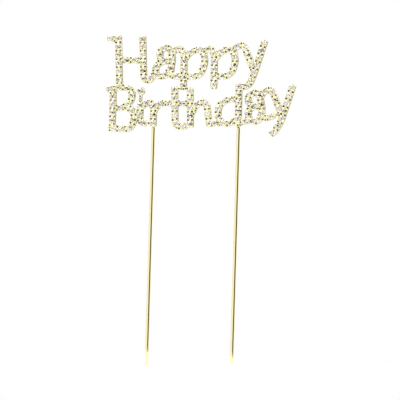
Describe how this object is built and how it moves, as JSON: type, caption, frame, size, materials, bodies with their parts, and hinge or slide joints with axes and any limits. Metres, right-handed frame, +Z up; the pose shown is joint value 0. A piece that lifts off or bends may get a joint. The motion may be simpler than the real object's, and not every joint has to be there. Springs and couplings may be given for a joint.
{
  "type": "cake topper",
  "caption": "Flat metal greeting letters set with clear stones, soldered into stacked lines and carried on straight round sticks that push into a cake.",
  "frame": {"origin": "midway between the two stick axes, level with the top of the cake", "axes": "+X to the right along the words, +Y to the back, +Z up along the sticks"},
  "size_m": [0.1084, 0.0043, 0.185],
  "materials": {
    "letter_metal": "polished plating",
    "stone": "cut and foiled",
    "stick_metal": "polished plating",
    "solder": "satin, plated over"
  },
  "bodies": {
    "root": {"letter_b": "letter_metal", "letter_i": "letter_metal", "letter_r": "letter_metal", "letter_t": "letter_metal", "letter_h": "letter_metal", "letter_d": "letter_metal", "letter_a_lower": "letter_metal", "letter_y_lower": "letter_metal", "letter_h_capital": "letter_metal", "letter_a_upper": "letter_metal", "letter_p_first": "letter_metal", "letter_p_second": "letter_metal", "letter_y_upper": "letter_metal", "stones_b": "stone", "stones_i": "stone", "stones_r": "stone", "stones_t": "stone", "stones_h": "stone", "stones_d": "stone", "stones_a_lower": "stone", "stones_y_lower": "stone", "stones_h_capital": "stone", "stones_a_upper": "stone", "stones_p_first": "stone", "stones_p_second": "stone", "stones_y_upper": "stone", "stick_left": "stick_metal", "stick_right": "stick_metal", "solder_bed_left": "solder", "solder_bed_right": "solder", "solder_spots": "solder"}
  },
  "joints": []
}
